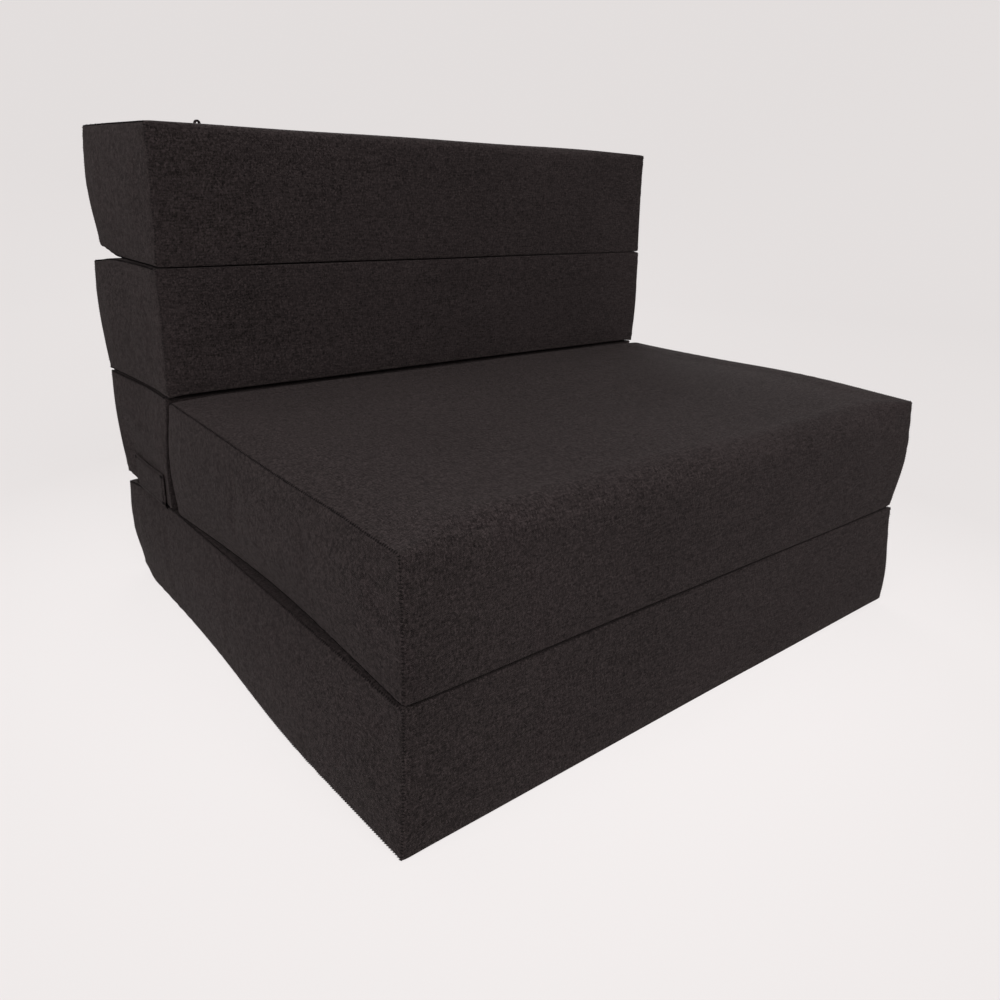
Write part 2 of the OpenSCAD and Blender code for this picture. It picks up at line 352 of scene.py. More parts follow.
def zip_marks(name):
    """Where the zip's opening lies along its face: its ends, and the middle of its height."""
    low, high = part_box(f"{name}_zip_teeth")
    tape_low, tape_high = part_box(f"{name}_zip_tape")
    axis = 1 if name == "seat" else 0
    hem = (tape_high.z - tape_low.z - ZIP_OPENING) / 2
    return tape_low[axis] + hem, tape_high[axis] - hem, (low.z + high.z) / 2


def fill_parts(length):
    """How many steps of about a grid's width fill this length."""
    return max(1, int(round(length / GRID)))


def run_side(start, end, marks, parts):
    """One straight side. parts gives how many steps fill each gap between the marks."""
    low, high = start + NEAR_EDGE[-1], end - NEAR_EDGE[-1]
    stops = [low] + list(marks) + [high]
    places = [start] + [start + d for d in NEAR_EDGE[:-1]]
    for a, b, count in zip(stops[:-1], stops[1:], parts):
        places += list(np.linspace(a, b, count + 1)[:-1])
    places += [high] + [end - d for d in NEAR_EDGE[:-1]][::-1] + [end]
    return np.array(places)


class Section:
    """A block's section as a ring of points (y, z), from the middle of its bottom front
    corner up the front, over the top, down the rear and back along the bottom."""

    def __init__(self, name):
        self.name = name
        self.half, self.y0, self.y1, self.z0, self.z1 = block_box(name)
        self.middle = np.array([0, (self.y0 + self.y1) / 2, (self.z0 + self.z1) / 2])
        self.sizes = np.array([self.half, (self.y1 - self.y0) / 2, (self.z1 - self.z0) / 2])
        self.low_end, self.high_end, self.zip_z = zip_marks(name)
        rows = sorted([-r for r in ZIP_ROWS] + list(ZIP_ROWS))
        self.row_marks = [self.zip_z + r for r in rows]
        self.column_marks = []
        if name == "seat":
            for end in (self.low_end, self.high_end):
                inner = 1 if end == self.low_end else -1
                marks = [end - inner * 0.0015, end, end + inner * 0.0003]
                self.column_marks += sorted(marks)
        tall = self.z1 - self.z0
        quarter = fill_parts(tall / 2 - NEAR_EDGE[-1] - ZIP_ROWS[0])
        self.row_parts = [quarter] + [1] * 3 + [2] + [1] * 3 + [quarter]
        deep = self.y1 - self.y0
        if self.column_marks:
            middle = fill_parts(self.high_end - self.low_end)
            edge = 2
            self.column_parts = [edge, 1, 1, middle, 1, 1, edge]
        else:
            self.column_parts = [fill_parts(deep - 2 * NEAR_EDGE[-1])]
        near = 2 * len(NEAR_EDGE)
        self.rows = sum(self.row_parts) + near + 2 * HALF_ARC
        self.columns = sum(self.column_parts) + near + 2 * HALF_ARC

    def share(self, points):
        """Where the points lie between the block's middle, 0, and its faces, -1 and 1."""
        return (points - self.middle) / self.sizes

    def ring(self, inset, radii):
        """The ring, drawn in by inset, with the four corner radii."""
        y0, y1 = self.y0 + inset, self.y1 - inset
        z0, z1 = self.z0 + inset, self.z1 - inset
        r = [max(radius - inset, 0.0012) for radius in radii]
        centres = [
            (y0 + r[0], z0 + r[0]), (y0 + r[1], z1 - r[1]),
            (y1 - r[2], z1 - r[2]), (y1 - r[3], z0 + r[3]),
        ]

        def arc(corner, first, last):
            turns = np.radians(np.linspace(first, last, HALF_ARC + 1))
            y, z = centres[corner]
            return [(y + r[corner] * math.cos(t), z + r[corner] * math.sin(t)) for t in turns]

        points = []
        for side, facing in enumerate((180, 90, 0, -90)):
            a, b = side, (side + 1) % 4
            upright = side % 2 == 0
            marks = self.row_marks if upright else self.column_marks
            parts = self.row_parts if upright else self.column_parts
            first, last = centres[a][upright], centres[b][upright]
            low, high = min(first, last), max(first, last)
            places = run_side(low, high, marks, parts)
            if first > last:
                places = places[::-1]
            points += arc(a, facing + 45, facing)[:-1]
            out_y, out_z = math.cos(math.radians(facing)), math.sin(math.radians(facing))
            if upright:
                points += [(centres[a][0] + r[a] * out_y, p) for p in places]
            else:
                points += [(p, centres[a][1] + r[a] * out_z) for p in places]
            points += arc(b, facing, facing - 45)[1:-1]
        return np.array(points)


def build_block(name):
    """The block's section, its points and faces, and the loops of its two end seams."""
    s = Section(name)
    radii = RADII[name]
    stations = [(-s.half + d, inset) for d, inset in SEAM_ROWS]
    if name == "seat":
        stops = []
    else:
        stops = [s.low_end - 0.0015, s.low_end, s.low_end + 0.0003]
        stops += [-p for p in stops[::-1]]
    first = -s.half + SEAM_ROWS[-1][0]
    places = [first] + stops + [-first]
    for a, b in zip(places[:-1], places[1:]):
        stations += [(x, 0.0) for x in np.linspace(a, b, fill_parts(b - a) + 1)[1:]]
    stations += [(s.half - d, inset) for d, inset in SEAM_ROWS[::-1][1:]]

    rings = []
    for x, inset in stations:
        soft = 1 - ease((s.half - abs(x)) / RADIUS_REACH)
        # The corners of the end panels are crisp, and the long edges round off from there
        local = [corner + (r - corner) * soft for corner, r in zip(CORNER_RADII[name], radii)]
        ring = s.ring(inset, local)
        rings.append(np.column_stack([np.full(len(ring), x), ring]))
    wrap = np.array(rings)
    count = wrap.shape[1]
    points = [wrap.reshape(-1, 3)]
    faces = []
    for i in range(len(stations) - 1):
        for j in range(count):
            k = (j + 1) % count
            faces.append((i * count + j, i * count + k, (i + 1) * count + k, (i + 1) * count + j))

    total = wrap.shape[0] * count
    for end, station in ((-1, 0), (1, len(stations) - 1)):
        ring = wrap[station]
        rows, columns = s.rows, s.columns
        edge = np.arange(count)
        front = edge[: rows + 1]
        top = edge[rows: rows + columns + 1]
        rear = edge[rows + columns: 2 * rows + columns + 1][::-1]
        bottom = np.append(edge[2 * rows + columns:], 0)[::-1]
        up = (ring[rear, 2] - ring[rear[0], 2]) / (ring[rear[-1], 2] - ring[rear[0], 2])
        index = np.zeros((rows + 1, columns + 1), int)
        index[:, 0], index[:, -1] = front, rear
        index[0, :], index[-1, :] = bottom, top
        index += station * count
        inner = np.zeros((rows - 1, columns - 1, 3))
        y = ring[bottom, 1]
        front_share = ease((y - y[0]) / 0.07)
        rear_share = ease((y[-1] - y) / 0.07)
        for i in range(1, rows):
            line = (1 - up[i]) * ring[bottom] + up[i] * ring[top]
            at_front = (1 - up[i]) * ring[bottom[0]] + up[i] * ring[top[0]]
            at_rear = (1 - up[i]) * ring[bottom[-1]] + up[i] * ring[top[-1]]
            line = line + np.outer(front_share, ring[front[i]] - at_front)
            line = line + np.outer(rear_share, ring[rear[i]] - at_rear)
            inner[i - 1] = line[1:-1]
        # The end panel rolls over into the seam, as the wrap does
        depth = np.minimum.reduce([
            inner[..., 1] - ring[:, 1].min(), ring[:, 1].max() - inner[..., 1],
            inner[..., 2] - ring[:, 2].min(), ring[:, 2].max() - inner[..., 2],
        ])
        depths = [d - SEAM_DEPTH for d, _ in SEAM_ROWS]
        out = np.interp(depth, depths, [inset for _, inset in SEAM_ROWS])
        inner[..., 0] = end * (s.half - out)
        index[1:-1, 1:-1] = total + np.arange((rows - 1) * (columns - 1)).reshape(rows - 1, columns - 1)
        total += (rows - 1) * (columns - 1)
        points.append(inner.reshape(-1, 3))
        for i in range(rows):
            for j in range(columns):
                quad = (index[i, j], index[i + 1, j], index[i + 1, j + 1], index[i, j + 1])
                faces.append(quad if end < 0 else quad[::-1])
    points = np.vstack(points)
    loops = {-1: np.arange(count), 1: (len(stations) - 1) * count + np.arange(count)}
    return s, points, faces, loops


def zip_recess(s, points):
    """How far each point goes down into the zip's recess, and the direction inwards."""
    high = np.abs(points[:, 2] - s.zip_z)
    sink = zip_sink(s.name)
    if s.name == "seat":
        along, on_face = points[:, 1], points[:, 0] > s.half - 0.004
        inward = np.array([-1.0, 0, 0])
    else:
        along, on_face = points[:, 0], points[:, 1] > s.y1 - 0.004
        inward = np.array([0, -1.0, 0])
    inside = on_face & (along > s.low_end + 0.0001) & (along < s.high_end - 0.0001)
    lip = on_face & (along > s.low_end - 0.001) & (along < s.high_end + 0.001)
    depth = np.zeros(len(points))
    depth[lip & (high < 0.0075)] = 0.0006
    depth[inside & (high < 0.0071)] = sink + TAPE_THICKNESS
    return depth, inward


def zip_sink(name):
    """Depth of the zip tape's face below the cover."""
    low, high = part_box(f"{name}_zip_teeth")
    if name == "seat":
        return block_box(name)[0] - low.x
    return block_box(name)[2] - high.y


def crown(s, points, amounts):
    """Swells each face by its amount, from nothing at the edges."""
    t = np.clip(s.share(points), -1, 1)
    flat = 1 - np.abs(t) ** 5
    front, top, rear, bottom, ends = amounts
    moved = points.copy()
    moved[:, 0] += ends * np.sign(t[:, 0]) * np.abs(t[:, 0]) ** 40 * flat[:, 1] * flat[:, 2]
    push = np.where(t[:, 1] < 0, -front, rear)
    moved[:, 1] += push * np.abs(t[:, 1]) ** 20 * flat[:, 0] * flat[:, 2]
    push = np.where(t[:, 2] > 0, top, -bottom)
    moved[:, 2] += push * np.abs(t[:, 2]) ** 6 * flat[:, 0] * flat[:, 1]
    return moved


# Where a cover is drawn in, pushed or squeezed, block by block: the place (x, y, z), its
# reach, and the shift. A place is "low" or "high" for the block's own side, a share of the
# way from low to high, or None for anywhere along that axis. In x, "both" mirrors it to the
# two ends, and "inner" is everywhere but the ends.
PINCHES = {
    "base": (
        ((None, "high", "high"), (None, 0.08, 0.06), (0, -0.002, -0.008)),
        (("both", "high", "low"), (0.1, 0.06, 0.07), (0.003, -0.005, 0.009)),
        (("low", "high", 0.6), (0.25, 0.2, 0.11), (-0.006, 0.001, 0)),
        (("high", "low", 0.4), (0.35, 0.3, 0.14), (0.006, -0.006, 0)),
        (("low", "low", "low"), (0.45, 0.45, 0.14), (-0.004, -0.0035, 0)),
        ((None, "low", "low"), (None, 0.12, 0.14), (0, -0.0045, 0)),
        (("low", 0.28, "low"), (0.12, 0.34, 0.14), (-0.0095, 0, 0)),
        (("high", "low", "low"), (0.3, 0.3, 0.12), (0.007, -0.001, 0.006)),
        (("low", 0.35, "high"), (0.05, 0.3, 0.05), (0.001, 0, -0.0015)),
    ),
    "seat": (
        (("both", 0.5, "low"), (0.035, 0.32, 0.05), (0.007, 0, 0.0045)),
        ((None, "high", "low"), (None, 0.05, 0.08), (0, -0.0035, 0)),
        (("both", "high", None), (0.05, 0.04, None), (0, -0.0018, 0)),
        (("inner", "high", "high"), (0.03, 0.03, 0.03), (0, -0.0018, 0.0006)),
        (("both", 0.45, "high"), (0.35, 0.24, 0.07), (0, 0, 0.0035)),
        (("high", 0.25, "high"), (0.3, 0.2, 0.06), (0, 0, 0.004)),
        (("high", "low", 0.5), (0.35, 0.3, 0.1), (0.006, -0.006, 0)),
        (("low", "low", "high"), (0.13, 0.12, 0.12), (-0.001, 0.001, -0.0045)),
        (("low", 0.4, "high"), (0.06, 0.36, 0.06), (0, 0, -0.013)),
        (("low", "high", 0.42), (0.12, 0.13, 0.13), (-0.003, 0.019, 0)),
    ),
    "lower": (
        ((None, "low", "high"), (None, 0.14, 0.02), (0, 0, 0.0005)),
        (("inner", "low", "high"), (0.014, 0.035, 0.03), (0, 0.005, -0.004)),
        ((None, "high", "low"), (None, 0.07, 0.05), (0, -0.001, 0.004)),
        ((None, "low", "low"), (None, 0.06, 0.09), (0, 0.003, 0)),
        (("low", "high", 0.7), (0.25, 0.14, 0.16), (-0.009, 0.002, 0)),
        (("low", "low", 0.32), (0.1, 0.09, 0.14), (-0.003, 0.024, 0)),
    ),
    "middle": (
        ((None, "high", "high"), (None, 0.075, 0.06), (0, -0.001, -0.007)),
        (("low", "low", "high"), (0.9, 0.12, 0.2), (0, -0.005, 0)),
        (("low", "high", 0.6), (0.25, 0.17, 0.2), (-0.013, 0.003, 0)),
        (("high", "low", 0.4), (0.3, 0.12, 0.12), (0.006, 0, 0)),
        ((None, "low", "low"), (None, 0.14, 0.02), (0, 0, -0.0005)),
        (("inner", "low", "low"), (0.014, 0.03, 0.02), (0, 0.0005, 0.0022)),
    ),
    "upper": (
        ((None, "high", "low"), (None, 0.075, 0.06), (0, -0.001, 0.0085)),
        (("low", "low", "high"), (0.9, 0.12, 0.30), (0.003, -0.012, 0)),
        (("high", "low", "high"), (0.3, 0.12, 0.2), (-0.005, 0.002, 0)),
        (("low", "high", 0.6), (0.2, 0.14, 0.11), (-0.008, 0.001, 0)),
        ((None, None, "high"), (None, None, 0.05), (0, 0, 0.0015)),
    ),
}


def pinch(s, points):
    """Moves the points by this block's pinches."""
    low = (-s.half, s.y0, s.z0)
    high = (s.half, s.y1, s.z1)
    moved = points.copy()
    for place, reach, shift in PINCHES[s.name]:
        for end in (-1, 1) if place[0] == "both" else (0,):
            weight = np.ones(len(points))
            for axis in range(3):
                if place[axis] is None:
                    continue
                if place[axis] == "inner":
                    weight *= 1 - ease((s.half - np.abs(points[:, axis])) / reach[axis])
                    continue
                share = {"low": 0.0, "high": 1.0}.get(place[axis], place[axis])
                if axis == 0 and end:
                    share = (1 + end) / 2
                at = low[axis] + share * (high[axis] - low[axis])
                weight *= ease((points[:, axis] - at) / reach[axis])
            vector = np.array(shift, float)
            if end:
                vector[0] *= -end
            moved += np.outer(weight, vector)
    return moved


WEB_LEG = 0.018
# How far past a tab's patch or a web the cover stays flat, and how steeply it may rise there
PATCH_EDGE = 0.004
PRESS_SLOPE = 0.15
WEB_EDGE = 0.003
WEB_SLOPE = 0.5
# The faces that a fold's web is sewn to, each with the edge that it runs along
WEB_FACES = {
    "base": (("top", "front"),),
    "seat": (("bottom", "front"), ("rear", "top")),
    "lower": (("front", "top"), ("top", "rear")),
    "middle": (("bottom", "rear"), ("top", "front")),
    "upper": (("bottom", "front"),),
}


def press(s, points):
    """Keeps the cover flat where something is sewn on it or lies on it: under the webs, and
    on the ends behind the side tabs."""
    moved = points.copy()
    planes = {
        "front": (1, -1, s.y0), "rear": (1, 1, s.y1), "bottom": (2, -1, s.z0), "top": (2, 1, s.z1),
    }
    for face, edge in WEB_FACES[s.name]:
        axis, out, level = planes[face]
        edge_axis, edge_out, edge_level = planes[edge]
        from_edge = edge_out * (edge_level - points[:, edge_axis])
        limit = WEB_SLOPE * np.maximum(from_edge - WEB_LEG - WEB_EDGE, 0)
        proud = out * (points[:, axis] - level) - limit
        moved[:, axis] -= out * np.maximum(proud, 0)
    if s.name == "base":
        # It stands on the floor
        moved[:, 2] = np.maximum(moved[:, 2], s.z0)
    if s.name != "lower":
        return moved
    low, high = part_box("left_tab")
    out_y = np.maximum(np.maximum(low.y - points[:, 1], points[:, 1] - high.y), 0)
    out_z = np.maximum(points[:, 2] - high.z, 0)
    limit = s.half - 0.0001 + PRESS_SLOPE * np.maximum(np.hypot(out_y, out_z) - PATCH_EDGE, 0)
    moved[:, 0] = np.clip(points[:, 0], -limit, limit)
    return moved


WAVE_HEIGHT = 0.0011
PUCKER_HEIGHT = 0.0009
SEAM_PULL = 0.0012


def ripple(s, points, seed):
    """Slow waves all over, and fine puckers beside the end seams."""
    draw = np.random.default_rng(seed)
    wave = np.zeros(len(points))
    for _ in range(7):
        direction = draw.normal(size=3)
        direction *= draw.uniform(9, 26) / np.linalg.norm(direction)
        wave += np.sin(points @ direction + draw.uniform(0, 2 * math.pi)) / 7
    t = s.share(points)
    out = np.sign(t) * np.abs(t) ** 24
    from_seam = s.half - np.abs(points[:, 0])
    along = points[:, 1] + 1.3 * points[:, 2]
    pucker = np.zeros(len(points))
    for _ in range(4):
        pucker += np.sin(along * draw.uniform(260, 520) + draw.uniform(0, 6.3)) / 4
    patch = 0.5 + 0.5 * np.sin(along * 31 + seed)
    puckered = PUCKER_HEIGHT * pucker * patch * ease((from_seam - 0.008) / 0.022)
    return points + out * (WAVE_HEIGHT * wave + puckered)[:, None]


def seam_pull(s, points):
    """Draws the end seams in a little between the corners."""
    t = np.abs(s.share(points))
    near = ease((s.half - np.abs(points[:, 0])) / 0.05)
    between = 1 - np.clip(np.minimum(t[:, 1], t[:, 2]), 0, 1) ** 4
    moved = points.copy()
    moved[:, 0] -= SEAM_PULL * np.sign(points[:, 0]) * near * between
    return moved


class Cushion:
    """One covered block while it is made."""

    def __init__(self, name, seed):
        self.name = name
        self.section, points, faces, self.seams = build_block(name)
        s = self.section
        self.depth, self.inward = zip_recess(s, points)
        self.flat = points
        shaped = crown(s, points, CROWN[name])
        shaped = seam_pull(s, shaped)
        shaped = ripple(s, shaped, seed)
        shaped = press(s, pinch(s, shaped))
        sunk = self.depth > 0
        # The recess stays where the zip runs, whatever the cover round it does
        shaped[sunk] = points[sunk] + np.outer(self.depth[sunk], self.inward)
        self.start = shaped
        self.piece = new_piece(f"{name}_cushion", shaped, faces, COVER)

    def hold(self):
        """How firmly each point is held in the simulation: 1 on the seams, by the zip and on
        the faces that rest on a neighbour, and near 0 on the open faces. Also how far each
        point's face is crowned."""
        s = self.section
        t = s.share(self.flat)
        gap = (1 - np.abs(t)) * s.sizes
        front, top, rear, bottom, ends = CROWN[self.name]
        amounts = np.column_stack([
            np.full(len(t), ends),
            np.where(t[:, 1] < 0, front, rear),
            np.where(t[:, 2] < 0, bottom, top),
        ])
        nearest = np.argmin(gap, axis=1)
        free = amounts[np.arange(len(t)), nearest] > 0
        inset = np.sort(gap, axis=1)[:, 1]
        held = np.where(free, ease((inset - 0.003) / 0.05), 1.0)
        along = np.abs(self.flat[:, 1 if self.name == "seat" else 0])
        side = nearest == (0 if self.name == "seat" else 1)
        facing = t[:, 0] > 0 if self.name == "seat" else t[:, 1] > 0
        opening = max(abs(s.low_end), abs(s.high_end))
        near_zip = side & facing & (along < opening + 0.01)
        from_zip = np.abs(self.flat[:, 2] - s.zip_z)
        held = np.where(near_zip, np.maximum(held, ease((from_zip - 0.012) / 0.02)), held)
        return held, np.where(free, amounts[np.arange(len(t)), nearest], 0.0)

    def finish(self, points):
        set_points(self.piece.data, press(self.section, points))
        soften(self.piece)
        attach(self.piece, BODY[self.name])
        nodes = ("foam", "wrap", "left_end", "right_end")
        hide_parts(*[f"{self.name}_{node}" for node in nodes])


SWELL_FRAMES = 20
SWELL_CLOTH = {
    "quality": 4,
    "mass": 0.3,
    "tension_stiffness": 25,
    "compression_stiffness": 20,
    "shear_stiffness": 8,
    "bending_stiffness": 0.6,
    "shrink_min": -0.005,
    "use_pressure": True,
    "uniform_pressure_force": 4.0,
}
HOLD_LEVELS = 10
# The furthest that a point moves: this much, and this share of its face's own crown
SWELL_LEAST = 0.0007
SWELL_SHARE = 0.45


def swell(cushions):
    """Blows the covers up by cloth simulation, all at once, and gives each one's points.
    No point moves further than its face's own limit."""
    amounts = []
    for cushion in cushions:
        piece = cushion.piece
        held, amount = cushion.hold()
        amounts.append(amount)
        group = piece.vertex_groups.new(name="held")
        levels = np.round(held * HOLD_LEVELS).astype(int)
        for level in range(1, HOLD_LEVELS + 1):
            group.add(np.flatnonzero(levels == level).tolist(), level / HOLD_LEVELS, "REPLACE")
        cloth = piece.modifiers.new("cloth", "CLOTH")
        settings = cloth.settings
        for setting, value in SWELL_CLOTH.items():
            setattr(settings, setting, value)
        settings.vertex_group_mass = "held"
        settings.effector_weights.gravity = 0.0
        cloth.collision_settings.use_collision = False
        cloth.point_cache.frame_start = 1
        cloth.point_cache.frame_end = SWELL_FRAMES
    scene = bpy.context.scene
    for step in range(1, SWELL_FRAMES + 1):
        scene.frame_set(step)
    graph = bpy.context.evaluated_depsgraph_get()
    results = []
    for cushion, amount in zip(cushions, amounts):
        swollen = cushion.piece.evaluated_get(graph)
        moved = get_points(swollen.data) - cushion.start
        limit = SWELL_LEAST + SWELL_SHARE * amount
        size = np.linalg.norm(moved, axis=1) + 1e-9
        share = limit * np.tanh(size / limit) / size
        share[cushion.depth > 0] = 0.0
        results.append(cushion.start + moved * share[:, None])
    for cushion in cushions:
        cushion.piece.modifiers.remove(cushion.piece.modifiers["cloth"])
        cushion.piece.vertex_groups.clear()
    scene.frame_set(1)
    return results


# ---- stitches

STITCH_PITCH = 0.0034
STITCH_LENGTH = 0.0026
STITCH_RADIUS = 0.00034
STITCH_LIFT = 0.00025


def capsules(name, middles, directions, outs, length, radius, material):
    """Short round-ended bars, one for each middle, as one mesh."""
    sides = 6
    rings = ((-0.5, 0.25), (-0.44, 0.8), (-0.2, 1.0), (0.2, 1.0), (0.44, 0.8), (0.5, 0.25))
    template = []
    for along, wide in rings:
        for k in range(sides):
            angle = 2 * math.pi * k / sides
            template.append((
                along * length, wide * radius * math.cos(angle), wide * radius * math.sin(angle),
            ))
    template = np.array(template)
    u = directions / np.linalg.norm(directions, axis=1)[:, None]
    v = outs - (outs * u).sum(1)[:, None] * u
    v /= np.linalg.norm(v, axis=1)[:, None]
    w = np.cross(u, v)
    axes = np.stack([u, v, w], 1)
    points = middles[:, None, :] + np.einsum("pk,nkd->npd", template, axes)
    size = len(template)
    bar = prism_faces(sides, len(rings))
    faces = [tuple(i * size + k for k in face) for i in range(len(middles)) for face in bar]
    return new_piece(name, points.reshape(-1, 3), faces, material)


def along_loop(line, pitch):
    """Places a pitch apart round a closed line, and the directions there."""
    closed = np.vstack([line, line[:1]])
    where = np.arange(0, reach_of(closed)[-1] - pitch / 2, pitch)
    places = places_on(closed, where)
    return places, places_on(closed, where + pitch / 2) - places


def add_seam_stitches(cushion):
    """Ladder stitches across both end seams of a block."""
    s, loops = cushion.section, cushion.seams
    points = get_points(cushion.piece.data)
    places, across, outs = [], [], []
    for end, loop in loops.items():
        line = points[loop]
        at, heading = along_loop(line, STITCH_PITCH)
        heading /= np.linalg.norm(heading, axis=1)[:, None]
        out_x = np.zeros_like(at)
        out_x[:, 0] = end
        radial = np.cross(heading, out_x)
        radial *= np.sign((radial * (at - s.middle)).sum(1))[:, None]
        outs.append(radial + out_x)
        across.append(radial - out_x)
        at = at + (radial + out_x) * STITCH_LIFT
        # None goes below the floor
        at[:, 2] = np.maximum(at[:, 2], STITCH_RADIUS)
        places.append(at)
    stitches = capsules(
        f"{s.name}_seam_stitches", np.vstack(places), np.vstack(across), np.vstack(outs),
        STITCH_LENGTH, STITCH_RADIUS, THREAD,
    )
    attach(stitches, BODY[s.name])


# ---- thin sheets


def sheet_mesh(name, grid, thickness, material, edge=0.5):
    """A closed sheet about a grid of places, thinner along its edges."""
    along = np.gradient(grid, axis=0)
    across = np.gradient(grid, axis=1)
    out = np.cross(along, across)
    out /= np.linalg.norm(out, axis=2)[..., None]
    rows, columns = grid.shape[:2]
    half = np.full((rows, columns), thickness / 2)
    half[0] = half[-1] = half[:, 0] = half[:, -1] = edge * thickness / 2
    out = out * half[..., None]
    points = np.vstack([(grid + out).reshape(-1, 3), (grid - out).reshape(-1, 3)])
    index = np.arange(rows * columns).reshape(rows, columns)
    below = index + rows * columns
    faces = []
    for i in range(rows - 1):
        for j in range(columns - 1):
            quad = (index[i, j], index[i + 1, j], index[i + 1, j + 1], index[i, j + 1])
            faces.append(quad)
            faces.append(tuple(rows * columns + k for k in quad[::-1]))
    rim = np.concatenate([index[0, :], index[1:, -1], index[-1, -2::-1], index[-2:0:-1, 0]])
    lower = np.concatenate([below[0, :], below[1:, -1], below[-1, -2::-1], below[-2:0:-1, 0]])
    for k in range(len(rim)):
        m = (k + 1) % len(rim)
        faces.append((rim[k], rim[m], lower[m], lower[k]))
    return new_piece(name, points, faces, material)


def running_stitches(name, line, out, pitch, length, radius):
    """Stitches end to end along an open line, a pitch apart."""
    where = np.arange(pitch / 2, reach_of(line)[-1], pitch)
    heading = places_on(line, where + pitch / 4) - places_on(line, where - pitch / 4)
    outs = np.tile(np.array(out, float), (len(where), 1))
    return capsules(name, places_on(line, where), heading, outs, length, radius, THREAD)


def laid_on(piece, line, out):
    """The places, laid on the piece's surface from outside."""
    graph = bpy.context.evaluated_depsgraph_get()
    graph.update()
    solid = piece.evaluated_get(graph)
    laid = []
    for place in line:
        start = Vector(place) + Vector(out) * 0.03
        hit, where, _, _ = solid.ray_cast(start, -Vector(out))
        laid.append(where if hit else Vector(place))
    return np.array([tuple(p) for p in laid])


# ---- webs

WEB_THICKNESS = 0.0004
WEB_HALF_GAP = 0.0004

# Each fold: the way in between the two blocks, the way across from the first to the second,
# and how far in from the fold line the web bends
FOLDS = {
    "seat_fold": ((0, 1, 0), (0, 0, 1), 0.0013),
    "back_fold": ((0, 0, -1), (0, 1, 0), 0.0055),
    "middle_fold": ((0, -1, 0), (0, 0, 1), 0.0013),
    "upper_fold": ((0, 1, 0), (0, 0, 1), 0.0013),
}


def joint_named(name):
    return next(joint for joint in frame["joints"] if joint["name"] == name)


def add_web(fold):
    """The cloth that joins two blocks: a leg on each face, and a bend at the fold line."""
    inward, across = (np.array(v, float) for v in FOLDS[fold][:2])
    nose = FOLDS[fold][2]
    joint = joint_named(fold)
    centre = np.array(joint["pos_m"])
    low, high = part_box(f"{fold}_tape")
    profile = [(d, -WEB_HALF_GAP) for d in np.linspace(WEB_LEG, nose + 0.001, 8)]
    for angle in np.radians(np.linspace(-90, 90, 7)):
        reach = nose - WEB_HALF_GAP * math.cos(angle)
        profile.append((reach, WEB_HALF_GAP * math.sin(angle)))
    profile += [(d, WEB_HALF_GAP) for d in np.linspace(nose + 0.001, WEB_LEG, 8)]
    places = np.linspace(low.x, high.x, 60)
    grid = np.zeros((len(places), len(profile), 3))
    for j, (depth, side) in enumerate(profile):
        grid[:, j] = centre + depth * inward + side * across
    grid[:, :, 0] = places[:, None]
    web = sheet_mesh(f"{fold}_web", grid, WEB_THICKNESS, TAPE)
    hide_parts(f"{fold}_tape")
    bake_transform(web)


# ---- side tabs

TAB_SHEET = 0.0012
TAB_HEM = 0.004
TAB_ROOT = 0.0045
# How far the tab's edges turn in towards the cover
TAB_TUCK = 0.0017
# The hem's stitches, and the bars of each corner's tack: pitch, length and radius
HEM_STITCH = (0.003, 0.0022, 0.00028)
TACK_BAR = (0.0006, 0.0036, 0.00042)


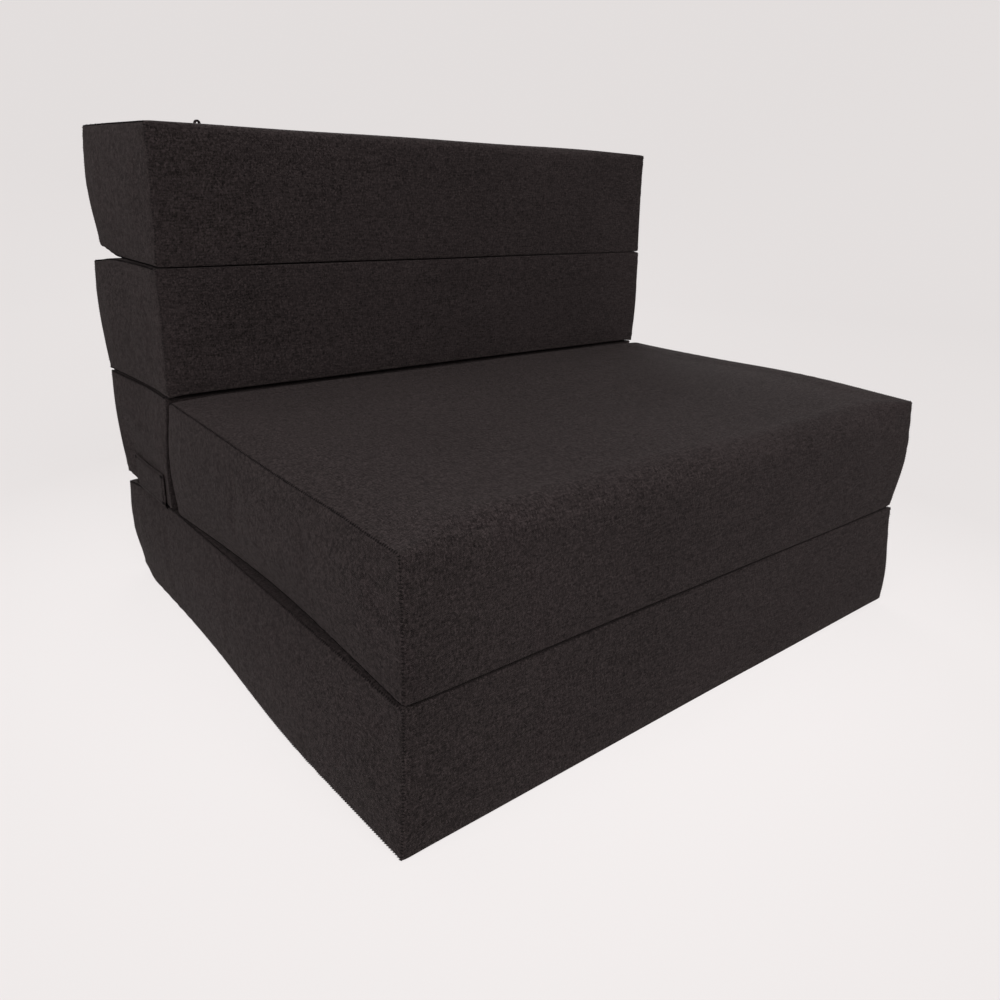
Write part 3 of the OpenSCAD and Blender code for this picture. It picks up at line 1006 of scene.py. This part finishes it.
def add_tab(side):
    """A side tab, sewn into the base's seam, with its hem, its tacks and the two patches."""
    name = "left" if side < 0 else "right"
    body = f"{name}_tab"
    low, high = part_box(body)
    axis_x, _, fold_z = joint_named(f"{body}_fold")["pos_m"]
    near = np.array([0, 0.0012, 0.0026, 0.0042])
    inner = np.linspace(low.y + 0.006, high.y - 0.006, 38)
    ys = np.concatenate([low.y + near, inner, high.y - near[::-1]])
    # From the root, inside the seam, out over the fold and up to the free edge
    rise = [(-TAB_ROOT, -0.0035), (-0.003, -0.0030), (-0.0012, -0.0016), (0.0, -0.0004)]
    rise += [(h, 0.0) for h in (0.0012, 0.003, 0.006)]
    rise += [(h, 0.0) for h in np.linspace(0.0095, high.z - fold_z - 0.006, 12)]
    rise += [(high.z - fold_z - d, 0.0) for d in near[::-1]]
    grid = np.zeros((len(ys), len(rise), 3))
    draw = np.random.default_rng(20 + side)
    phase = draw.uniform(0, 2 * math.pi, 3)
    for j, (height, step) in enumerate(rise):
        free = max(0.0, height) / (high.z - fold_z)
        wave = np.sin(ys * 70 + phase[0]) + 0.6 * np.sin(ys * 131 + phase[1] + 30 * height)
        edge = np.minimum(ys - low.y, high.y - ys)
        if height > 0.006:
            edge = np.minimum(edge, high.z - fold_z - height)
        tucked = TAB_TUCK * ease(edge / 0.006) * min(1.0, max(0.0, height / 0.01))
        out = step + 0.0003 * free * wave - tucked
        shrink = 0.0011 * free * np.sin((ys - low.y) / (high.y - low.y) * math.pi)
        grid[:, j, 0] = axis_x + side * out
        grid[:, j, 1] = ys
        grid[:, j, 2] = fold_z + height - shrink
    if side > 0:
        grid = grid[::-1]
    tab = sheet_mesh(f"{name}_tab_cloth", grid, TAB_SHEET, TAB, edge=0.8)
    soften(tab)
    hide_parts(body)
    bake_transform(tab)
    face = axis_x + side * (TAB_SHEET / 2 + 0.0002)
    corners = [
        (low.y + TAB_HEM, fold_z + TAB_HEM), (low.y + TAB_HEM, high.z - TAB_HEM),
        (high.y - TAB_HEM, high.z - TAB_HEM), (high.y - TAB_HEM, fold_z + TAB_HEM),
    ]
    line = []
    for (y0, z0), (y1, z1) in zip(corners, corners[1:] + corners[:1]):
        side_ys, side_zs = np.linspace(y0, y1, 30), np.linspace(z0, z1, 30)
        line += [(face, y, z) for y, z in zip(side_ys[:-1], side_zs[:-1])]
    line = laid_on(tab, line + line[:1], (side, 0, 0))
    hem = running_stitches(f"{name}_tab_hem_stitches", line, (side, 0, 0), *HEM_STITCH)
    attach(hem, body)
    places, ways = [], []
    for y, z in corners:
        for k in range(-4, 5):
            places.append((face, y + k * TACK_BAR[0], z))
            ways.append((0, 0.0002 * (-1) ** k, 1))
    outs = np.tile([float(side), 0, 0], (len(places), 1))
    places = laid_on(tab, places, (side, 0, 0)) + outs * 0.0002
    ways = np.array(ways, float)
    tacks = capsules(f"{name}_tab_tacks", places, ways, outs, *TACK_BAR[1:], THREAD)
    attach(tacks, body)
    add_patch(f"{name}_loop_patch", body, side, 0.0)
    add_patch(f"{name}_hook_patch", "back_lower", side, 1.7)


def add_patch(node, body, side, phase):
    """One half of the hook-and-loop fastener, thinner and without pile along its border."""
    low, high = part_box(node)
    ys = np.linspace(low.y, high.y, 50)
    zs = np.linspace(low.z, high.z, 18)
    y, z = np.meshgrid(ys, zs, indexing="ij")
    edge = np.minimum.reduce([y - low.y, high.y - y, z - low.z, high.z - z])
    middle = (low.x + high.x) / 2
    fluff = 0.00008 * np.sin(y * 2100 + phase) * np.sin(z * 1900)
    grid = np.stack([middle + fluff * (edge > 0.001), y, z], axis=2)
    if side > 0:
        grid = grid[::-1]
    patch = sheet_mesh(node + "_pile", grid, high.x - low.x - 0.0002, PILE, edge=0.55)
    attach(patch, body)
    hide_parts(node)


# ---- top loop

LOOP_TAPE = 0.0028


def add_loop():
    """A short tape folded over into a loop and sewn into the upper block's top seam."""
    low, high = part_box("upper_loop")
    radius = (high.x - low.x - LOOP_TAPE) / 2
    middle = (low.x + high.x) / 2
    top = high.z - radius - LOOP_TAPE / 2
    root = low.z - 0.003
    path = [(-radius * 0.55, z) for z in np.linspace(root, low.z + 0.004, 4)]
    for angle in np.radians(np.linspace(200, -20, 15)):
        path.append((radius * math.cos(angle), top + radius * math.sin(angle)))
    path += [(radius * 0.55, z) for z in np.linspace(low.z + 0.004, root, 4)]
    ys = np.linspace(low.y, high.y, 5)
    grid = np.zeros((len(path), len(ys), 3))
    for i, (x, z) in enumerate(path):
        grid[i, :, 0] = middle + x
        grid[i, :, 1] = ys
        grid[i, :, 2] = z
    loop = sheet_mesh("upper_loop_tape", grid, LOOP_TAPE, TAB, edge=0.7)
    soften(loop)
    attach(loop, "back_upper")
    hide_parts("upper_loop")
    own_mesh(loop)


# ---- zips

TOOTH_PITCH = 0.0015
ZIP_STOP = 0.005
# Distance of each row of stitches from the opening's edge, and their pitch, length and radius
STITCH_OFF = 0.0025
ZIP_STITCHES = (0.0032, 0.0024, 0.0003)


def on_zip(name):
    """A zip's own frame: a function from (along, up, out) to a place, out from the tape's
    face, and the half length of its opening. Along runs the way that the slider opens it."""
    low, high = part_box(f"{name}_zip_teeth")
    tape_low, tape_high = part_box(f"{name}_zip_tape")
    middle = (np.array(low) + np.array(high)) / 2
    if name == "seat":
        base = np.array([low.x, middle[1], middle[2]])
        along, up, out = np.array([0, -1.0, 0]), np.array([0, 0, 1.0]), np.array([1.0, 0, 0])
        half = (tape_high.y - tape_low.y) / 2
    else:
        base = np.array([middle[0], low.y, middle[2]])
        along, up, out = np.array([1.0, 0, 0]), np.array([0, 0, 1.0]), np.array([0, 1.0, 0])
        half = (tape_high.x - tape_low.x) / 2
    hem = (tape_high.z - tape_low.z - ZIP_OPENING) / 2

    def place(points):
        points = np.asarray(points, float)
        return base + points[..., :1] * along + points[..., 1:2] * up + points[..., 2:] * out

    return place, half - hem, out


def tooth_points(side):
    """One moulded tooth, from its edge of the tape to just past the middle."""
    outline = (
        (-0.0003, 0.0025), (0.0003, 0.0025), (0.0004, 0.0006), (0.00062, 0.0),
        (0.00045, -0.0006), (-0.00045, -0.0006), (-0.00062, 0.0), (-0.0004, 0.0006),
    )
    rings = ((0.0, 1.0), (0.0009, 1.0), (0.0012, 0.72))
    middle = 0.00095
    return [
        (x * wide, side * (middle + (y - middle) * wide), z)
        for z, wide in rings for x, y in outline
    ]


def block_points(x0, x1, half_y, height, bevel):
    """A zip's end stop, with a bevelled top."""
    rings = ((0.0, 0.0), (height - bevel, 0.0), (height, bevel))
    points = []
    for z, inset in rings:
        a, b, c = x0 + inset, x1 - inset, half_y - inset
        points += [(a, -c, z), (b, -c, z), (b, c, z), (a, c, z)]
    return points


def add_zip(name):
    """The zip's woven tape, its teeth and stops, and the stitches along the opening."""
    place, half, out = on_zip(name)
    body = BODY[name]
    flip = name == "seat"
    xs = np.linspace(-half + 0.0004, half - 0.0004, 90)
    ups = np.array([-1, -0.75, -0.45, -0.2, 0.0, 0.2, 0.45, 0.75, 1.0]) * (ZIP_OPENING / 2 - 0.0003)
    grid = np.zeros((len(xs), len(ups), 3))
    grid[..., 0] = xs[:, None]
    grid[..., 1] = ups[None, :]
    grid[..., 2] = -TAPE_THICKNESS / 2 - 0.0001
    grid = place(grid)
    tape = sheet_mesh(f"{name}_zip_tape_cloth", grid, TAPE_THICKNESS - 0.0003, TAPE)
    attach(tape, body)
    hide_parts(f"{name}_zip_tape")

    low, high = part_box(f"{name}_zip_teeth")
    length = (high.y - low.y) if name == "seat" else (high.x - low.x)
    run = length - 2 * ZIP_STOP - 0.001
    count = int(run / TOOTH_PITCH)
    points, faces = [], []
    outline = prism_faces(8, 3)
    # The two sides run opposite ways round, so the lower side's faces turn over
    turned = [face[::-1] for face in outline]
    for k in range(count):
        side = 1 if k % 2 else -1
        at = -run / 2 + (k + 0.5) * TOOTH_PITCH
        first = len(points)
        points += [(x + at, y, z) for x, y, z in tooth_points(side)]
        wound = outline if (side > 0) != flip else turned
        faces += [tuple(first + i for i in face) for face in wound]
    for x0 in (-length / 2, length / 2 - ZIP_STOP):
        first = len(points)
        points += block_points(x0, x0 + ZIP_STOP, 0.003, 0.0024, 0.0005)
        wound = prism_faces(4, 3)
        if not flip:
            wound = [face[::-1] for face in wound]
        faces += [tuple(first + i for i in face) for face in wound]
    teeth = new_piece(f"{name}_zip_chain", place(points), faces, TEETH, smooth=False)
    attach(teeth, body)
    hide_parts(f"{name}_zip_teeth")

    # Two rows of stitches on the cover, above and below the opening
    face = zip_sink(name) + 0.0009
    lines = []
    for side in (-1, 1):
        up = side * (ZIP_OPENING / 2 + STITCH_OFF)
        lines.append(place([(x, up, face) for x in np.linspace(-half, half, 120)]))
    for side, line in zip(("lower", "upper"), lines):
        line = laid_on(cushions[name].piece, line, out)
        row = running_stitches(f"{name}_zip_{side}_stitches", line, out, *ZIP_STITCHES)
        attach(row, body)


def finish_metal(name):
    """The slider and its pull keep their CAD shapes, with eased edges and a zip's metal."""
    for node in (f"{name}_zip_slider", f"{name}_zip_pull"):
        piece = frame["nodes"][node]
        piece.data.materials.clear()
        piece.data.materials.append(METAL)
        eased = piece.modifiers.new("eased edges", "BEVEL")
        eased.width = 0.00022
        eased.segments = 2
        eased.limit_method = "ANGLE"
        eased.angle_limit = math.radians(40)


# ---- build

add_camera()
cushions = {block: Cushion(block, seed + 1) for seed, block in enumerate(BLOCKS)}
shapes = swell(list(cushions.values()))
for cushion, shape in zip(cushions.values(), shapes):
    cushion.finish(shape)
    add_seam_stitches(cushion)
for fold in FOLDS:
    add_web(fold)
add_tab(-1)
add_tab(1)
add_loop()
for block in BLOCKS:
    add_zip(block)
    finish_metal(block)

# ---- stage

FLOOR_RADIUS = 3.4
WALL_RADIUS = 1.6
WALL_TOP = 4.5
GLOW_SHARE = 0.92


def stage_material():
    """Pale paper with a painted pool of light round the object, and a painted glow that keeps shadows
    faint.
    """
    n = Nodes("stage")
    place = n.add("ShaderNodeTexCoord").outputs["Object"]
    away = n.add("ShaderNodeVectorMath", {0: place}, operation="LENGTH").outputs["Value"]
    # Painted pool of light: the paper is lighter near the object and darker away from it
    painted_light_falloff = n.stretch(away, 0.42, 0.95)
    colour = n.mix(painted_light_falloff, (0.855, 0.82, 0.815, 1.0), (0.76, 0.728, 0.722, 1.0))
    paper = n.add("ShaderNodeBsdfDiffuse", {"Color": colour})
    # Painted glow: the paper gives off light of its own, which keeps shadows on it faint
    glow = n.add("ShaderNodeEmission", {"Color": colour, "Strength": 1.0})
    inputs = {0: GLOW_SHARE, 1: paper.outputs[0], 2: glow.outputs[0]}
    return n.finish(n.add("ShaderNodeMixShader", inputs))


def add_stage():
    """A round floor that curves up into a wall."""
    turns = 96
    outline = [(0.0, 0.0), (1.2, 0.0), (2.4, 0.0), (FLOOR_RADIUS, 0.0)]
    for angle in np.radians(np.linspace(-90, 0, 13))[1:]:
        reach = FLOOR_RADIUS + WALL_RADIUS * math.cos(angle)
        outline.append((reach, WALL_RADIUS * (1 + math.sin(angle))))
    outline.append((FLOOR_RADIUS + WALL_RADIUS, WALL_TOP))
    points = [(0.0, 0.0, 0.0)]
    for radius, height in outline[1:]:
        for k in range(turns):
            angle = 2 * math.pi * k / turns
            points.append((radius * math.cos(angle), radius * math.sin(angle), height))
    faces = [(0, 1 + k, 1 + (k + 1) % turns) for k in range(turns)]
    for i in range(len(outline) - 2):
        inner, outer = 1 + i * turns, 1 + (i + 1) * turns
        for k in range(turns):
            m = (k + 1) % turns
            faces.append((inner + k, outer + k, outer + m, inner + m))
    floor = new_piece("studio_floor", points, faces, stage_material())


def add_light(name, place, size, power):
    """A round lamp that faces the object."""
    data = bpy.data.lights.new(name, "AREA")
    data.shape = "DISK"
    data.size = size
    data.energy = power
    light = bpy.data.objects.new(name, data)
    light.location = place
    light.rotation_mode = "QUATERNION"
    light.rotation_quaternion = (Vector((0, 0, 0.25)) - Vector(place)).to_track_quat("-Z", "Y")
    bpy.context.scene.collection.objects.link(light)


def add_world():
    world = bpy.data.worlds.new("studio")
    world.use_nodes = True
    sky = world.node_tree.nodes["Background"]
    sky.inputs["Color"].default_value = (1.0, 0.985, 0.98, 1.0)
    sky.inputs["Strength"].default_value = 0.55
    bpy.context.scene.world = world


add_stage()
add_world()
add_light("key", (-2.8, -0.6, 1.7), 2.2, 106)
add_light("top", (0.2, 0.2, 3.2), 2.4, 24)
add_light("fill", (-0.3, -3.2, 2.4), 2.4, 165)
add_light("rear", (1.6, 3.2, 2.0), 2.4, 70)
bpy.context.scene.view_settings.view_transform = "Standard"

# ---- end

import json
